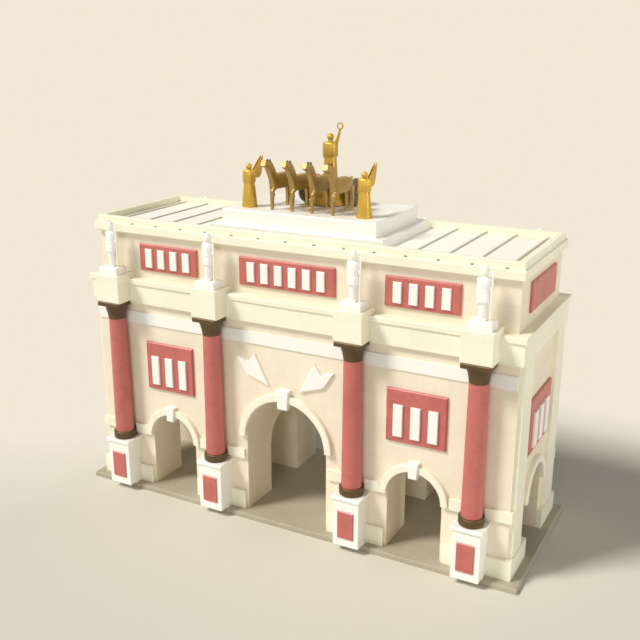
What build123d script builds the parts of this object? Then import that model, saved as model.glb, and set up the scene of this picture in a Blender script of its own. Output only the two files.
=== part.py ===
from build123d import *
import os

os.makedirs("parts", exist_ok=True)

# Triumphal arch with three openings, a cross passage, eight free columns and a
# four-horse chariot on the roof.  Millimetres, +Z up, the front faces -Y and the
# origin is the middle of the footprint on the ground.

# ---- body of the arch -------------------------------------------------------
half_length = 9800          # wall face to the middle, along X
half_depth = 3130           # wall face to the middle, along Y
step_height = 240           # stylobate
pier_height = 2410          # piers, up to the springing of the passage vaults
wall_height = 6380          # masonry over the piers
passage_half = 1200         # cross passage, half its clear width
vault_ledge = 50            # ledge on each side of the passage under its vault
vault_split = 3300          # joint between the three cross vaults
centre_half = 1930          # middle arch, half its clear width
centre_stilt = 1150         # its springing above the top of the piers
side_x = 5900               # middle line of a side arch
side_half = 1170            # side arch, half its clear width
side_stilt = 90

step_top = step_height
pier_top = step_top + pier_height
wall_top = pier_top + wall_height
centre_spring = pier_top + centre_stilt
side_spring = pier_top + side_stilt
vault_radius = passage_half - vault_ledge
side_outer = side_x + side_half
side_inner = side_x - side_half

# ---- stylobate --------------------------------------------------------------
step_out_x = 590
step_out_y = 530
step_half_x = half_length + step_out_x
step_half_y = half_depth + step_out_y

# ---- mouldings on the wall --------------------------------------------------
socle_height = 830
socle_out = 150             # socle stands this far out of the long walls
socle_end_out = 220         # and this far out of the end walls
socle_back = 100            # set back from the edge of each arch jamb
impost_height = 450
impost_out = 130
ring_out = 200
centre_ring = 320           # width of the ring round the middle arch
side_ring = 300
end_ring = 320
keystone_out = 290
frieze_drop = 970           # top of the wall down to the foot of the frieze band
frieze_height = 525
frieze_out = 50
edge_cut = 25               # chamfer on the edges of bands and slabs
socle_top = step_top + socle_height
impost_low = pier_top + 20
impost_high = impost_low + impost_height
frieze_low = wall_top - frieze_drop
frieze_high = frieze_low + frieze_height

# ---- orders: the columns stand on the middle lines of the piers --------------
shaft_foot_radius = 420
shaft_head_radius = 370
shaft_gap = 10              # foot of the shaft to the wall behind it
base_radius = shaft_foot_radius + 90
pedestal_height = 2280
pedestal_cap = 150
cap_out = 70
pedestal_rise = 60          # underside of a pedestal's nose above the step
base_height = 350
capital_height = 620
abacus_height = 190
abacus_lap = 90             # abacus stands this far above the wall top
inner_column_x = (centre_half + side_inner) / 2
outer_column_x = (side_outer + half_length) / 2
column_x = (-outer_column_x, -inner_column_x, inner_column_x, outer_column_x)
column_out = shaft_foot_radius + shaft_gap
column_y = half_depth + column_out
pedestal_half = base_radius + 60
pedestal_front = column_y + 530
ressaut_front = column_y + 540
abacus_front = ressaut_front + 40
pedestal_top = step_top + pedestal_height
pedestal_cap_low = pedestal_top - pedestal_cap
base_top = pedestal_top + base_height
abacus_top = wall_top + abacus_lap
capital_top = abacus_top - abacus_height
shaft_top = capital_top - capital_height
capital_radius = pedestal_half - 40
# clear width behind a column base where the impost band is broken
impost_gap = 2 * (base_radius ** 2 - (column_out - impost_out) ** 2) ** 0.5 + 36

# ---- entablature, cornice and ressauts --------------------------------------
band_out = 165
band_height = 810
cornice_out = 235
cornice_height = 280
cornice_splay = 60
ressaut_side = 55           # ressaut wider than the pedestal, each side
ressaut_lift = 250          # ressaut top above the cornice
band_half_x = half_length + band_out
band_half_y = half_depth + band_out
band_top = wall_top + band_height
cornice_half_x = half_length + cornice_out
cornice_half_y = half_depth + cornice_out
cornice_top = band_top + cornice_height
ressaut_half = pedestal_half + ressaut_side
ressaut_top = cornice_top + ressaut_lift

# ---- attic and roof ---------------------------------------------------------
attic_set_x = 200           # attic wall face behind the wall below
attic_set_y = 230
attic_wall = 800
attic_height = 1970
attic_cornice_out_x = 150
attic_cornice_out_y = 230
attic_cornice_height = 400
deck_bearing = 100          # roof deck bears this far on the attic walls
parapet_set_x = 75
parapet_set_y = 190
parapet_wall = 220
parapet_height = 270
rib_pitch = 1290
rib_width = 80
rib_height = 40
attic_half_x = half_length - attic_set_x
attic_half_y = half_depth - attic_set_y
attic_top = cornice_top + attic_height
roof_level = attic_top + attic_cornice_height
attic_cornice_half_x = attic_half_x + attic_cornice_out_x
attic_cornice_half_y = attic_half_y + attic_cornice_out_y
deck_half_x = attic_half_x - attic_wall + deck_bearing
deck_half_y = attic_half_y - attic_wall + deck_bearing
parapet_half_x = attic_cornice_half_x - parapet_set_x
parapet_half_y = attic_cornice_half_y - parapet_set_y
parapet_top = roof_level + parapet_height

# ---- podium -----------------------------------------------------------------
podium_step_half_x = 4010
podium_step_height = 360
podium_half_x = 3550
podium_height = 600
podium_walk = 290           # roof left clear between parapet and podium
podium_tread = 300
podium_step_half_y = parapet_half_y - parapet_wall - podium_walk
podium_half_y = podium_step_half_y - podium_tread
podium_step_top = roof_level + podium_step_height
podium_top = podium_step_top + podium_height

sides = (-1, 1)
base = (Align.CENTER, Align.CENTER, Align.MIN)


def arch_head(half, spring, foot):
    # round-headed outline of an opening, flat on the drawing plane
    with BuildSketch() as head:
        with BuildLine():
            Polyline((-half, spring), (-half, foot), (half, foot), (half, spring))
            ThreePointArc((half, spring), (0, spring + half), (-half, spring))
        make_face()
    return head.sketch


def arch_ring(half, spring, width):
    # half ring round an opening, from springing to springing
    with BuildSketch() as ring:
        with Locations((0, spring)):
            Circle(half + width)
            Circle(half, mode=Mode.SUBTRACT)
        with Locations((0, spring)):
            Rectangle(2 * (half + width), half + width, align=(Align.CENTER, Align.MAX), mode=Mode.SUBTRACT)
    return ring.sketch


def raised_slab(width, out, height, cut):
    # slab standing out of a wall face towards -Y, the edges of its face chamfered
    with BuildPart() as slab:
        Box(width, out, height, align=(Align.CENTER, Align.MAX, Align.MIN))
        chamfer(slab.faces().sort_by(Axis.Y)[0].edges(), cut)
    return slab.part


def topped_block(length, depth, height, cut):
    # block standing on the drawing plane, the edges of its top chamfered
    with BuildPart() as block:
        Box(length, depth, height, align=base)
        chamfer(block.faces().sort_by(Axis.Z)[-1].edges(), cut)
    return block.part


# ---- stylobate: one low step under the whole building ------------------------
with BuildPart() as stylobate:
    add(topped_block(2 * step_half_x, 2 * step_half_y, step_top, 2 * edge_cut))
stylobate.part.label = "stylobate"
export_step(stylobate.part, "parts/stylobate.step")

# ---- footing blocks in front of the step, one under the nose of each pedestal --
foot_width = 2 * pedestal_half - 480
foot_front = pedestal_front - 290
with BuildPart() as pedestal_feet:
    with Locations([(x, s * (foot_front + step_half_y) / 2, 0) for x in column_x for s in sides]):
        Box(foot_width, foot_front - step_half_y, step_top + pedestal_rise, align=base)
pedestal_feet.part.label = "pedestal_feet"
export_step(pedestal_feet.part, "parts/pedestal_feet.step")

# ---- eight piers between the openings and the cross passage -----------------
pier_depth = half_depth - passage_half
pier_y = (half_depth + passage_half) / 2

with BuildPart() as front_piers:
    with Locations([(s * outer_column_x, -pier_y, step_top) for s in sides]):
        Box(half_length - side_outer, pier_depth, pier_top - step_top, align=base)
    with Locations([(s * inner_column_x, -pier_y, step_top) for s in sides]):
        Box(side_inner - centre_half, pier_depth, pier_top - step_top, align=base)
front_piers.part.label = "front_piers"
export_step(front_piers.part, "parts/front_piers.step")

with BuildPart() as back_piers:
    mirror(front_piers.part, about=Plane.XZ)
back_piers.part.label = "back_piers"
export_step(back_piers.part, "parts/back_piers.step")

# ---- long walls over the piers, with the three arch heads cut through --------
with BuildPart() as front_wall:
    with BuildSketch(Plane.XZ.offset(half_depth)):
        with Locations((0, pier_top)):
            Rectangle(2 * half_length, wall_top - pier_top, align=(Align.CENTER, Align.MIN))
        add(arch_head(centre_half, centre_spring, pier_top - 100), mode=Mode.SUBTRACT)
        with Locations([(s * side_x, 0) for s in sides]):
            add(arch_head(side_half, side_spring, pier_top - 100), mode=Mode.SUBTRACT)
    extrude(amount=-pier_depth)
front_wall.part.label = "front_wall"
export_step(front_wall.part, "parts/front_wall.step")

with BuildPart() as back_wall:
    mirror(front_wall.part, about=Plane.XZ)
back_wall.part.label = "back_wall"
export_step(back_wall.part, "parts/back_wall.step")

# ---- cross vaults: the masonry over the passage, in three bays ---------------
with BuildPart() as centre_vault:
    with Locations((0, 0, pier_top)):
        Box(2 * vault_split, 2 * passage_half, wall_top - pier_top, align=base)
    with BuildSketch(Plane.XZ.offset(passage_half)):
        add(arch_head(centre_half, centre_spring, pier_top - 100))
    extrude(amount=-2 * passage_half, mode=Mode.SUBTRACT)
    with BuildSketch(Plane.YZ.offset(-vault_split)):
        add(arch_head(vault_radius, pier_top, pier_top - 100))
    extrude(amount=2 * vault_split, mode=Mode.SUBTRACT)
centre_vault.part.label = "centre_vault"
export_step(centre_vault.part, "parts/centre_vault.step")

with BuildPart() as left_vault:
    with Locations((-(half_length + vault_split) / 2, 0, pier_top)):
        Box(half_length - vault_split, 2 * passage_half, wall_top - pier_top, align=base)
    with BuildSketch(Plane.XZ.offset(passage_half)):
        with Locations((-side_x, 0)):
            add(arch_head(side_half, side_spring, pier_top - 100))
    extrude(amount=-2 * passage_half, mode=Mode.SUBTRACT)
    with BuildSketch(Plane.YZ.offset(-half_length)):
        add(arch_head(vault_radius, pier_top, pier_top - 100))
    extrude(amount=half_length - vault_split, mode=Mode.SUBTRACT)
left_vault.part.label = "left_vault"
export_step(left_vault.part, "parts/left_vault.step")

with BuildPart() as right_vault:
    mirror(left_vault.part, about=Plane.YZ)
right_vault.part.label = "right_vault"
export_step(right_vault.part, "parts/right_vault.step")

# ---- socles along the foot of the piers -------------------------------------
socle_outer_from = side_outer + socle_back
socle_inner_from = centre_half + socle_back
socle_inner_to = side_inner - socle_back
with BuildPart() as front_socles:
    for s in sides:
        corner = s * (half_length + socle_end_out)
        with Locations(((corner + s * socle_outer_from) / 2, -half_depth - socle_out / 2, step_top)):
            Box(abs(corner) - socle_outer_from, socle_out, socle_top - step_top, align=base)
        with Locations((s * (half_length + socle_end_out / 2), -(half_depth + passage_half) / 2, step_top)):
            Box(socle_end_out, half_depth - passage_half, socle_top - step_top, align=base)
        with Locations((s * (socle_inner_from + socle_inner_to) / 2, -half_depth - socle_out / 2, step_top)):
            Box(socle_inner_to - socle_inner_from, socle_out, socle_top - step_top, align=base)
with BuildPart() as socles:
    add(front_socles.part)
    mirror(front_socles.part, about=Plane.XZ)
socles.part.label = "socles"
export_step(socles.part, "parts/socles.step")

# ---- impost bands at the foot of the arch heads -----------------------------
impost_outer_from = side_outer + side_ring + 20
impost_inner_to = side_inner - side_ring - 20
impost_inner_from = centre_half + socle_back
pilaster_front = 3000
with BuildPart() as front_imposts:
    for s in sides:
        corner = s * (half_length + impost_out)
        with Locations(((corner + s * impost_outer_from) / 2, -half_depth - impost_out / 2, impost_low)):
            Box(abs(corner) - impost_outer_from, impost_out, impost_high - impost_low, align=base)
        with Locations((s * (half_length + impost_out / 2), -(half_depth + pilaster_front) / 2, impost_low)):
            Box(impost_out, half_depth - pilaster_front, impost_high - impost_low, align=base)
        impost_middle = s * (impost_inner_from + impost_inner_to) / 2
        with Locations((impost_middle, -half_depth - impost_out / 2, impost_low)):
            Box(impost_inner_to - impost_inner_from, impost_out, impost_high - impost_low, align=base)
    # the band is broken behind each column base
    with Locations([(x, -half_depth - impost_out / 2, impost_low) for x in column_x]):
        Box(impost_gap, impost_out, impost_high - impost_low, align=base, mode=Mode.SUBTRACT)
with BuildPart() as impost_bands:
    add(front_imposts.part)
    mirror(front_imposts.part, about=Plane.XZ)
impost_bands.part.label = "impost_bands"
export_step(impost_bands.part, "parts/impost_bands.step")

# ---- raised rings round the arches ------------------------------------------
with BuildPart() as front_rings:
    with BuildSketch(Plane.XZ.offset(half_depth)):
        add(arch_ring(centre_half, centre_spring, centre_ring))
        with Locations([(s * side_x, 0) for s in sides]):
            add(arch_ring(side_half, side_spring, side_ring))
    extrude(amount=ring_out)
    chamfer(front_rings.faces().group_by(Axis.Y)[0].edges().filter_by(GeomType.CIRCLE), edge_cut)
with BuildPart() as right_ring:
    with BuildSketch(Plane.YZ.offset(half_length)):
        add(arch_ring(vault_radius, pier_top, end_ring))
    extrude(amount=ring_out)
    chamfer(right_ring.faces().sort_by(Axis.X)[-1].edges().filter_by(GeomType.CIRCLE), edge_cut)

# keystones are cut out of the rings, so each ring stops against its keystone
keystone_sizes = ((0, 290, centre_spring + centre_half - 300, centre_spring + centre_half + 560),
                  (side_x, 225, side_spring + side_half - 240, side_spring + side_half + 430),
                  (-side_x, 225, side_spring + side_half - 240, side_spring + side_half + 430))
with BuildPart() as front_keystones:
    for x, half, low, high in keystone_sizes:
        with BuildSketch(Plane.XZ.offset(half_depth)):
            with BuildLine():
                Polyline((x - 0.82 * half, low), (x + 0.82 * half, low), (x + half, high), (x - half, high),
                         close=True)
            make_face()
        extrude(amount=keystone_out)
with BuildPart() as front_rings_cut:
    add(front_rings.part)
    add(front_keystones.part, mode=Mode.SUBTRACT)
with BuildPart() as keystones:
    add(front_keystones.part)
    chamfer(keystones.faces().group_by(Axis.Y)[0].edges(), edge_cut)
    mirror(keystones.part, about=Plane.XZ)
keystones.part.label = "keystones"
export_step(keystones.part, "parts/keystones.step")

with BuildPart() as arch_rings:
    add(front_rings_cut.part)
    mirror(front_rings_cut.part, about=Plane.XZ)
    add(right_ring.part)
    mirror(right_ring.part, about=Plane.YZ)
arch_rings.part.label = "arch_rings"
export_step(arch_rings.part, "parts/arch_rings.step")

# ---- end pilasters, standing on the socles ----------------------------------
pilaster_back = 1800
pilaster_out = 160
with BuildPart() as end_pilasters:
    pilaster_y = (pilaster_front + pilaster_back) / 2
    pilaster_x = half_length + pilaster_out / 2
    with Locations([(a * pilaster_x, b * pilaster_y, socle_top) for a in sides for b in sides]):
        Box(pilaster_out, pilaster_front - pilaster_back, wall_top - socle_top, align=base)
end_pilasters.part.label = "end_pilasters"
export_step(end_pilasters.part, "parts/end_pilasters.step")

# ---- white frieze band under the entablature, front and back ----------------
with BuildPart() as frieze_bands:
    with Locations([(0, s * (half_depth + frieze_out / 2), frieze_low) for s in sides]):
        Box(2 * half_length - 60, frieze_out, frieze_high - frieze_low, align=base)
frieze_bands.part.label = "frieze_bands"
export_step(frieze_bands.part, "parts/frieze_bands.step")

# ---- entablature course and cornice -----------------------------------------
with BuildPart() as entablature:
    with Locations((0, 0, wall_top)):
        Box(2 * band_half_x, 2 * band_half_y, band_top - wall_top, align=base)
entablature.part.label = "entablature"
export_step(entablature.part, "parts/entablature.step")

with BuildPart() as cornice:
    with BuildSketch(Plane.XY.offset(band_top)):
        Rectangle(2 * band_half_x, 2 * band_half_y)
    with BuildSketch(Plane.XY.offset(band_top + cornice_splay)):
        Rectangle(2 * cornice_half_x, 2 * cornice_half_y)
    loft()
    with Locations((0, 0, band_top + cornice_splay)):
        add(topped_block(2 * cornice_half_x, 2 * cornice_half_y, cornice_top - band_top - cornice_splay,
                         edge_cut))
cornice.part.label = "cornice"
export_step(cornice.part, "parts/cornice.step")

# ---- ressauts: entablature blocks breaking forward over the columns ----------
with BuildPart() as front_ressauts:
    for x in column_x:
        with BuildSketch(Plane.YZ.offset(x - ressaut_half)):
            with BuildLine():
                Polyline((-ressaut_front, abacus_top), (-band_half_y, abacus_top),
                         (-band_half_y, band_top), (-cornice_half_y, band_top + cornice_splay),
                         (-cornice_half_y, cornice_top), (-attic_half_y, cornice_top),
                         (-attic_half_y, ressaut_top), (-ressaut_front, ressaut_top), close=True)
            make_face()
        extrude(amount=2 * ressaut_half)
    chamfer(front_ressauts.faces().group_by(Axis.Y)[0].edges(), edge_cut)
with BuildPart() as ressauts:
    add(front_ressauts.part)
    mirror(front_ressauts.part, about=Plane.XZ)
ressauts.part.label = "ressauts"
export_step(ressauts.part, "parts/ressauts.step")

# ---- pedestals with cap mouldings and red inset panels -----------------------
pedestal_depth = pedestal_front - half_depth
with BuildPart() as front_pedestals:
    foot_depth = pedestal_depth - socle_out
    with Locations([(x, -(pedestal_front + half_depth + socle_out) / 2, step_top) for x in column_x]):
        Box(2 * pedestal_half, foot_depth, pedestal_top - step_top, align=base)
    with Locations([(x, -(pedestal_front + half_depth) / 2, socle_top) for x in column_x]):
        Box(2 * pedestal_half, pedestal_depth, pedestal_top - socle_top, align=base)
    # the nose in front of the step stands on a footing block, a little higher
    with Locations([(x, -(pedestal_front + step_half_y) / 2, step_top) for x in column_x]):
        Box(2 * pedestal_half, pedestal_front - step_half_y, pedestal_rise, align=base, mode=Mode.SUBTRACT)
    with Locations([(x, -half_depth, pedestal_cap_low) for x in column_x]):
        add(raised_slab(2 * (pedestal_half + cap_out), pedestal_depth + cap_out, pedestal_cap, edge_cut))
with BuildPart() as pedestals:
    add(front_pedestals.part)
    mirror(front_pedestals.part, about=Plane.XZ)
pedestals.part.label = "pedestals"
export_step(pedestals.part, "parts/pedestals.step")

ped_panel_half = pedestal_half - 210
ped_panel_low = step_top + 420
ped_panel_high = pedestal_cap_low - 490
ped_panel_out = 60
with BuildPart() as pedestal_panels:
    with Locations([(x, -pedestal_front, ped_panel_low) for x in column_x]):
        add(raised_slab(2 * ped_panel_half, ped_panel_out, ped_panel_high - ped_panel_low, edge_cut))
    mirror(pedestal_panels.part, about=Plane.XZ)
pedestal_panels.part.label = "pedestal_panels"
export_step(pedestal_panels.part, "parts/pedestal_panels.step")

# ---- columns: bronze base, red marble shaft, bronze capital ------------------
column_spots = [(x, -column_y) for x in column_x]

with BuildPart() as one_base:
    with BuildSketch(Plane.YZ):
        with BuildLine():
            Polyline((0, pedestal_top), (base_radius - 40, pedestal_top))
            ThreePointArc((base_radius - 40, pedestal_top), (base_radius - 12, pedestal_top + 28),
                          (base_radius, pedestal_top + 90))
            Line((base_radius, pedestal_top + 90), (base_radius, base_top - 60))
            ThreePointArc((base_radius, base_top - 60), (base_radius - 15, base_top - 15),
                          (base_radius - 50, base_top))
            Polyline((base_radius - 50, base_top), (0, base_top), (0, pedestal_top))
        make_face()
    revolve(axis=Axis.Z)
    # flat against the wall
    with Locations((0, column_out, pedestal_top)):
        Box(2 * base_radius, base_radius, base_height, align=(Align.CENTER, Align.MIN, Align.MIN),
            mode=Mode.SUBTRACT)
with BuildPart() as column_bases:
    with Locations(column_spots):
        add(one_base.part)
    mirror(column_bases.part, about=Plane.XZ)
column_bases.part.label = "column_bases"
export_step(column_bases.part, "parts/column_bases.step")

with BuildPart() as column_shafts:
    with Locations([(x, y, base_top) for x, y in column_spots]):
        Cone(shaft_foot_radius, shaft_head_radius, shaft_top - base_top, align=base)
    mirror(column_shafts.part, about=Plane.XZ)
column_shafts.part.label = "column_shafts"
export_step(column_shafts.part, "parts/column_shafts.step")

with BuildPart() as one_capital:
    with BuildSketch(Plane.YZ):
        with BuildLine():
            Polyline((0, shaft_top), (shaft_head_radius + 10, shaft_top))
            ThreePointArc((shaft_head_radius + 10, shaft_top), (shaft_head_radius + 62, shaft_top + 330),
                          (capital_radius, capital_top))
            Polyline((capital_radius, capital_top), (0, capital_top), (0, shaft_top))
        make_face()
    revolve(axis=Axis.Z)
    # flat against the frieze band
    with Locations((0, column_out - frieze_out, shaft_top)):
        Box(2 * capital_radius, capital_radius, capital_height, align=(Align.CENTER, Align.MIN, Align.MIN),
            mode=Mode.SUBTRACT)
    with Locations((0, column_y - band_half_y, capital_top)):
        add(raised_slab(2 * pedestal_half, abacus_front - band_half_y, abacus_top - capital_top, edge_cut))
with BuildPart() as front_capitals:
    with Locations(column_spots):
        add(one_capital.part)
with BuildPart() as capitals:
    add(front_capitals.part)
    add(front_capitals.part.rotate(Axis.Z, 180))
capitals.part.label = "capitals"
export_step(capitals.part, "parts/capitals.step")

# ---- red panels over the side arches and on the ends, with white bars --------
panel_out = 110
panel_half = 1265
panel_cut = 45              # chamfer round the face of a red panel
panel_low = side_spring + side_half + 1145
panel_height = frieze_low - 775 - panel_low
end_panel_half = 1500
end_panel_low = pier_top + vault_radius + end_ring + 580
end_panel_height = frieze_low - 1020 - end_panel_low
with BuildPart() as long_panels:
    with Locations([(a * side_x, -half_depth, panel_low) for a in sides]):
        add(raised_slab(2 * panel_half, panel_out, panel_height, panel_cut))
with BuildPart() as wall_panels:
    add(long_panels.part)
    mirror(long_panels.part, about=Plane.XZ)
    with Locations([Location((a * half_length, 0, end_panel_low), (0, 0, a * 90)) for a in sides]):
        add(raised_slab(2 * end_panel_half, panel_out, end_panel_height, panel_cut))
wall_panels.part.label = "wall_panels"
export_step(wall_panels.part, "parts/wall_panels.step")

bar_out = 90
bar_width = 400
bar_pitch = 735
bar_cut = 20                # chamfer round the face of a white bar
end_bar_width = 440
end_bar_pitch = 820
with BuildPart() as long_bars:
    with Locations([(a * side_x + k * bar_pitch, -(half_depth + panel_out), panel_low + 260)
                    for a in sides for k in (-1, 0, 1)]):
        add(raised_slab(bar_width, bar_out, panel_height - 890, bar_cut))
with BuildPart() as wall_panel_bars:
    add(long_bars.part)
    mirror(long_bars.part, about=Plane.XZ)
    end_bar_x = half_length + panel_out
    with Locations([Location((a * end_bar_x, k * end_bar_pitch, end_panel_low + 250), (0, 0, a * 90))
                    for a in sides for k in (-1, 0, 1)]):
        add(raised_slab(end_bar_width, bar_out, end_panel_height - 840, bar_cut))
wall_panel_bars.part.label = "wall_panel_bars"
export_step(wall_panel_bars.part, "parts/wall_panel_bars.step")

# ---- winged reliefs in the spandrels of the middle arch ----------------------
relief_out = 110
relief_low = centre_spring + centre_half + centre_ring + 270
relief_height = frieze_low - 400 - relief_low
# distance in from the jamb line, height as a part of the relief's own height
relief_outline = ((-370, 0.80), (190, 0.67), (500, 1.0), (1180, 0.0), (150, 0.25), (5, 0.35))
with BuildPart() as one_relief:
    with BuildSketch(Plane.XZ.offset(half_depth)):
        with BuildLine():
            Polyline(*[(-centre_half + dx, relief_low + t * relief_height) for dx, t in relief_outline],
                     close=True)
        make_face()
    extrude(amount=relief_out)
    chamfer(one_relief.faces().sort_by(Axis.Y)[0].edges(), bar_cut)
with BuildPart() as winged_reliefs:
    add(one_relief.part)
    mirror(one_relief.part, about=Plane.YZ)
    add(mirror(one_relief.part, about=Plane.XZ, mode=Mode.PRIVATE))
    add(one_relief.part.rotate(Axis.Z, 180))
winged_reliefs.part.label = "winged_reliefs"
export_step(winged_reliefs.part, "parts/winged_reliefs.step")

# ---- attic: four walls round a hollow, red panels with bars ------------------
with BuildPart() as attic_front_wall:
    with Locations((0, -(attic_half_y - attic_wall / 2), cornice_top)):
        Box(2 * attic_half_x, attic_wall, attic_height, align=base)
attic_front_wall.part.label = "attic_front_wall"
export_step(attic_front_wall.part, "parts/attic_front_wall.step")

with BuildPart() as attic_back_wall:
    with Locations((0, attic_half_y - attic_wall / 2, cornice_top)):
        Box(2 * attic_half_x, attic_wall, attic_height, align=base)
attic_back_wall.part.label = "attic_back_wall"
export_step(attic_back_wall.part, "parts/attic_back_wall.step")

with BuildPart() as attic_end_walls:
    with Locations([(s * (attic_half_x - attic_wall / 2), 0, cornice_top) for s in sides]):
        Box(attic_wall, 2 * (attic_half_y - attic_wall), attic_height, align=base)
attic_end_walls.part.label = "attic_end_walls"
export_step(attic_end_walls.part, "parts/attic_end_walls.step")

attic_panel_out = 110
attic_panel_low = cornice_top + 375
attic_panel_height = attic_height - 770
attic_panel_x = (inner_column_x + outer_column_x) / 2
attic_panel_half = (outer_column_x - inner_column_x) / 2 - 1025
attic_centre_half = inner_column_x - 1095
attic_end_half = attic_half_y - 1150
with BuildPart() as long_attic_panels:
    with Locations([(a * attic_panel_x, -attic_half_y, attic_panel_low) for a in sides]):
        add(raised_slab(2 * attic_panel_half, attic_panel_out, attic_panel_height, panel_cut))
    with Locations((0, -attic_half_y, attic_panel_low)):
        add(raised_slab(2 * attic_centre_half, attic_panel_out, attic_panel_height, panel_cut))
with BuildPart() as attic_panels:
    add(long_attic_panels.part)
    mirror(long_attic_panels.part, about=Plane.XZ)
    with Locations([Location((a * attic_half_x, 0, attic_panel_low + 105), (0, 0, a * 90)) for a in sides]):
        add(raised_slab(2 * attic_end_half, attic_panel_out, attic_panel_height - 20, panel_cut))
attic_panels.part.label = "attic_panels"
export_step(attic_panels.part, "parts/attic_panels.step")

attic_bar_out = 80
attic_bar_width = 350
side_bar_pitch = (2 * attic_panel_half - 740 - attic_bar_width) / 3
centre_bar_pitch = (2 * attic_centre_half - 870 - attic_bar_width) / 5
with BuildPart() as attic_panel_bars:
    bar_y = -(attic_half_y + attic_panel_out)
    bar_z = attic_panel_low + 180
    side_bars = [(a * attic_panel_x + k * side_bar_pitch, bar_y, bar_z)
                 for a in sides for k in (-1.5, -0.5, 0.5, 1.5)]
    centre_bars = [(k * centre_bar_pitch, bar_y, bar_z) for k in (-2.5, -1.5, -0.5, 0.5, 1.5, 2.5)]
    with Locations(side_bars + centre_bars):
        add(raised_slab(attic_bar_width, attic_bar_out, attic_panel_height - 375, bar_cut))
    mirror(attic_panel_bars.part, about=Plane.XZ)
attic_panel_bars.part.label = "attic_panel_bars"
export_step(attic_panel_bars.part, "parts/attic_panel_bars.step")

# ---- attic cornice, roof deck, ribs and parapet ------------------------------
with BuildPart() as attic_cornice:
    with BuildSketch(Plane.XY.offset(attic_top)):
        Rectangle(2 * attic_cornice_half_x - 120, 2 * attic_cornice_half_y - 120)
    with BuildSketch(Plane.XY.offset(attic_top + 60)):
        Rectangle(2 * attic_cornice_half_x, 2 * attic_cornice_half_y)
    loft()
    with Locations((0, 0, attic_top + 60)):
        add(topped_block(2 * attic_cornice_half_x, 2 * attic_cornice_half_y, roof_level - attic_top - 60,
                         edge_cut))
    with Locations((0, 0, attic_top)):
        Box(2 * deck_half_x, 2 * deck_half_y, roof_level - attic_top, align=base, mode=Mode.SUBTRACT)
attic_cornice.part.label = "attic_cornice"
export_step(attic_cornice.part, "parts/attic_cornice.step")

with BuildPart() as roof_deck:
    with Locations((0, 0, attic_top)):
        Box(2 * deck_half_x, 2 * deck_half_y, roof_level - attic_top, align=base)
roof_deck.part.label = "roof_deck"
export_step(roof_deck.part, "parts/roof_deck.step")

with BuildPart() as parapet:
    with Locations((0, 0, roof_level)):
        add(topped_block(2 * parapet_half_x, 2 * parapet_half_y, parapet_top - roof_level, edge_cut))
        Box(2 * (parapet_half_x - parapet_wall), 2 * (parapet_half_y - parapet_wall),
            parapet_top - roof_level, align=base, mode=Mode.SUBTRACT)
parapet.part.label = "parapet"
export_step(parapet.part, "parts/parapet.step")

rib_end = parapet_half_y - parapet_wall
ribs_each_side = int((parapet_half_x - parapet_wall - rib_width) // rib_pitch)
with BuildPart() as roof_ribs:
    for k in range(-ribs_each_side, ribs_each_side + 1):
        x = k * rib_pitch
        if abs(x) > podium_step_half_x + rib_width:
            with Locations((x, 0, roof_level)):
                Box(rib_width, 2 * rib_end, rib_height, align=base)
        else:
            with Locations([(x, s * (rib_end + podium_step_half_y) / 2, roof_level) for s in sides]):
                Box(rib_width, rib_end - podium_step_half_y, rib_height, align=base)
roof_ribs.part.label = "roof_ribs"
export_step(roof_ribs.part, "parts/roof_ribs.step")

# ---- podium of the chariot ---------------------------------------------------
with BuildPart() as podium:
    with Locations((0, 0, roof_level)):
        add(topped_block(2 * podium_step_half_x, 2 * podium_step_half_y, podium_step_top - roof_level,
                         2 * edge_cut))
        add(topped_block(2 * podium_half_x, 2 * podium_half_y, podium_top - roof_level, 2 * edge_cut))
podium.part.label = "podium"
export_step(podium.part, "parts/podium.step")

# ---- soldiers on their plinths over the columns ------------------------------
plinth_y = column_y + 35
plinth_depth = 750
plinth_top = ressaut_top + 310
with BuildPart() as statue_plinths:
    with Locations([(x, s * plinth_y, ressaut_top) for x in column_x for s in sides]):
        add(topped_block(960, plinth_depth, plinth_top - ressaut_top, 70))
statue_plinths.part.label = "statue_plinths"
export_step(statue_plinths.part, "parts/statue_plinths.step")

with BuildPart() as one_statue:
    # legs, tunic, chest and shoulders, capped head
    with BuildSketch(Plane.XZ):
        with BuildLine():
            Polyline((0, 0), (185, 0), (180, 700), (245, 680), (200, 1040), (220, 1550), (90, 1600),
                     (70, 1640), (130, 1660), (130, 1970), (100, 2000), (0, 2000), (0, 0))
        make_face()
    revolve(axis=Axis.Z)
    with Locations([(-210, 0, 930), (210, 0, 930)]):
        Cylinder(60, 600, align=base)
    # spear held in the right hand
    with Locations((300, -40, 0)):
        Cylinder(24, 1850, align=base)
    with Locations((255, -30, 1060)):
        Box(110, 90, 90, align=base)
with BuildPart() as front_statues:
    with Locations([(x, -plinth_y, plinth_top) for x in column_x]):
        add(one_statue.part)
with BuildPart() as statues:
    add(front_statues.part)
    add(front_statues.part.rotate(Axis.Z, 180))
statues.part.label = "statues"
export_step(statues.part, "parts/statues.step")

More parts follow.
